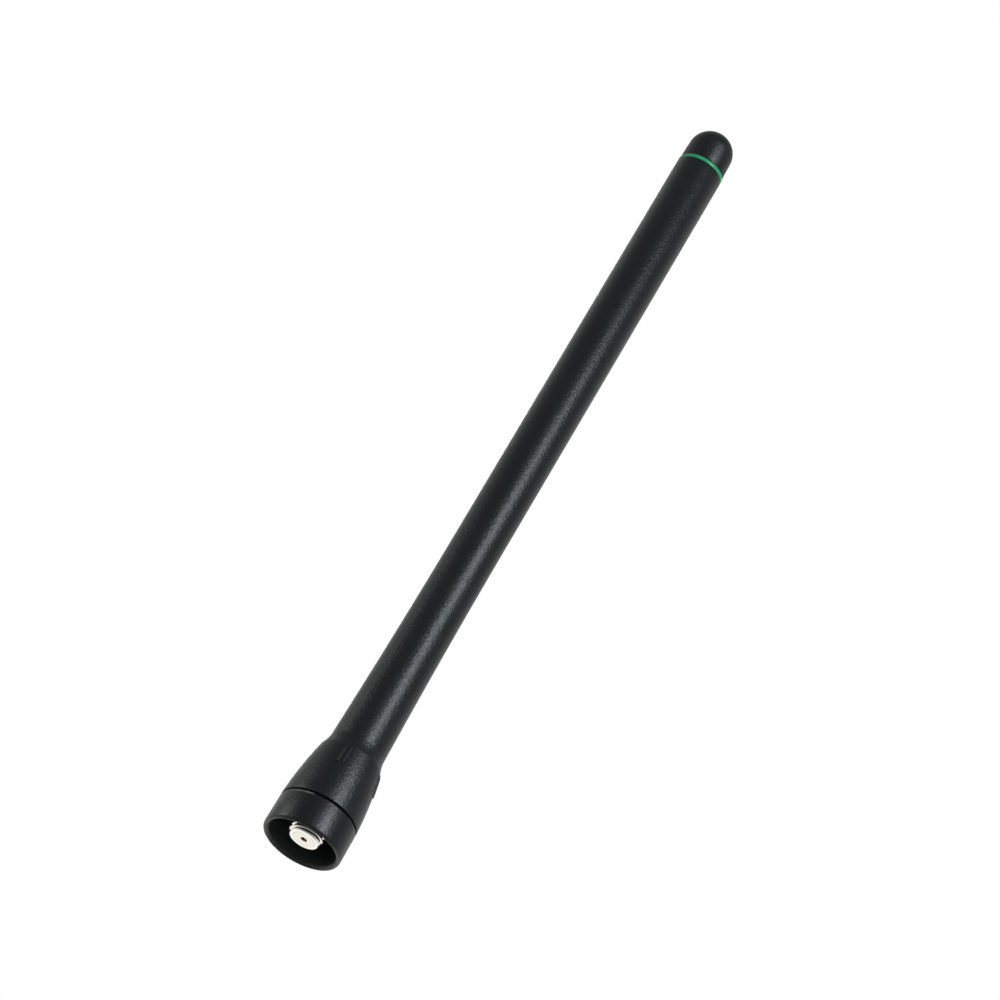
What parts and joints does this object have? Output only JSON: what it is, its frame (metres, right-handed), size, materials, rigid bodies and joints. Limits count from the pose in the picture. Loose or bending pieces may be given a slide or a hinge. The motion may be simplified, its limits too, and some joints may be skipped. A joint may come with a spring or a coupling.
{
  "type": "helical whip antenna for a hand-held radio",
  "caption": "Black flexible whip antenna with a skirted threaded coaxial stud at its foot, a ribbed boot, a coloured band and a domed tip.",
  "frame": {"origin": "centre of the skirt's rim plane, on which the antenna stands", "axes": "+Z along the rod from the connector to the tip; the four pairs of boot ribs lie on +X, -X, +Y and -Y"},
  "size_m": [0.015, 0.015, 0.1688],
  "materials": {
    "skirt_plastic": "satin moulded",
    "insert_plastic": "glass-filled, matte",
    "nickel_plate": "bright nickel plate on turned brass",
    "spring_steel": "plated",
    "nut_plate": "nickel plate on brass",
    "fluoropolymer": "waxy, turned",
    "gold_plate": "gold plate on spring bronze",
    "bush_plastic": "natural moulded",
    "ferrule_brass": "turned",
    "coil_copper": "copper plate on spring steel",
    "core_plastic": "extruded",
    "sleeve_plastic": "shrunk film",
    "sheath_rubber": "fine grain, matte",
    "boot_rubber": "fine grain, matte",
    "band_green": "satin",
    "cap_rubber": "fine grain, matte"
  },
  "bodies": {
    "root": {"skirt_ring": "skirt_plastic", "base_insert": "insert_plastic", "connector_shell": "nickel_plate", "lock_washer": "spring_steel", "hex_nut": "nut_plate", "connector_insulator": "fluoropolymer", "centre_contact": "gold_plate", "feed_bush": "bush_plastic", "feed_ferrule": "ferrule_brass", "radiator_coil": "coil_copper", "core_rod": "core_plastic", "coil_sleeve": "sleeve_plastic", "outer_sheath": "sheath_rubber", "base_boot": "boot_rubber", "band_ring": "band_green", "tip_cap": "cap_rubber"}
  },
  "joints": []
}
